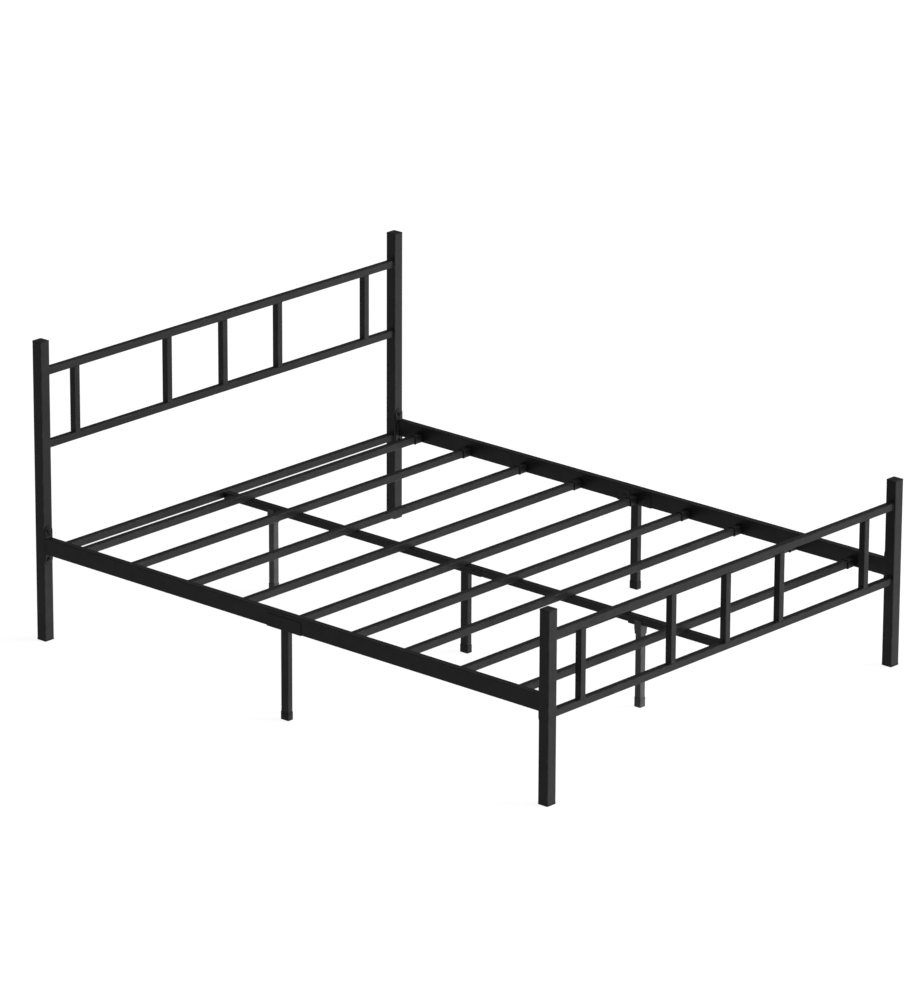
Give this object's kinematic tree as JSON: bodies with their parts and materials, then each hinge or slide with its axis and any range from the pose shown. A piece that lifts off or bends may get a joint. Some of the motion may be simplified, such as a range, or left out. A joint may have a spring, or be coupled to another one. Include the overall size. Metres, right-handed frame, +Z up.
{
  "type": "metal bed frame",
  "caption": "Open bed frame of square steel tube: posts with spindled headboard and footboard, bolted side rails, cross slats in sockets, and a centre rail on legs.",
  "frame": {"origin": "on the floor, at the middle of the bed's width and length", "axes": "+X to the right as seen from the foot, +Y towards the head, +Z up"},
  "size_m": [1.636, 2.109, 0.971],
  "materials": {
    "frame_paint": "satin black powder coat",
    "prop_paint": "satin dark grey powder coat",
    "plastic_black": "moulded black plastic, fine texture",
    "plastic_grey": "moulded dark grey plastic, fine texture",
    "bolt_black": "black zinc plate",
    "zinc_steel": "bright zinc plate"
  },
  "bodies": {
    "root": {"head_post_left": "frame_paint", "head_post_right": "frame_paint", "foot_post_left": "frame_paint", "foot_post_right": "frame_paint", "head_top_rail": "frame_paint", "head_lower_rail": "frame_paint", "head_deck_rail": "frame_paint", "foot_top_rail": "frame_paint", "foot_lower_rail": "frame_paint", "head_spindle_1": "frame_paint", "head_spindle_2": "frame_paint", "head_spindle_3": "frame_paint", "head_spindle_4": "frame_paint", "head_spindle_5": "frame_paint", "foot_spindle_1": "frame_paint", "foot_spindle_2": "frame_paint", "foot_spindle_3": "frame_paint", "foot_spindle_4": "frame_paint", "foot_spindle_5": "frame_paint", "side_rail_left_head": "frame_paint", "side_rail_left_foot": "frame_paint", "side_rail_right_head": "frame_paint", "side_rail_right_foot": "frame_paint", "end_plate_left_head": "frame_paint", "end_plate_left_foot": "frame_paint", "end_plate_right_head": "frame_paint", "end_plate_right_foot": "frame_paint", "joint_channel_left": "frame_paint", "joint_channel_right": "frame_paint", "joint_channel_centre": "frame_paint", "slat_1": "frame_paint", "slat_2": "frame_paint", "slat_3": "frame_paint", "slat_4": "frame_paint", "slat_5": "frame_paint", "slat_6": "frame_paint", "slat_7": "frame_paint", "slat_8": "frame_paint", "slat_9": "frame_paint", "centre_rail_head": "frame_paint", "centre_rail_foot": "frame_paint", "centre_rail_spigots": "frame_paint", "side_leg_left": "frame_paint", "side_leg_right": "frame_paint", "middle_leg": "frame_paint", "slat_sockets": "plastic_black", "prop_leg_head": "prop_paint", "prop_leg_foot": "prop_paint", "prop_saddles": "prop_paint", "post_caps": "plastic_black", "post_feet": "plastic_black", "leg_feet": "plastic_black", "prop_feet": "plastic_grey", "plate_bolts": "bolt_black", "plate_washers": "bolt_black", "plate_nuts": "zinc_steel", "joint_bolts": "bolt_black", "joint_nuts": "zinc_steel", "beam_bolts": "bolt_black", "beam_nuts": "zinc_steel"}
  },
  "joints": []
}
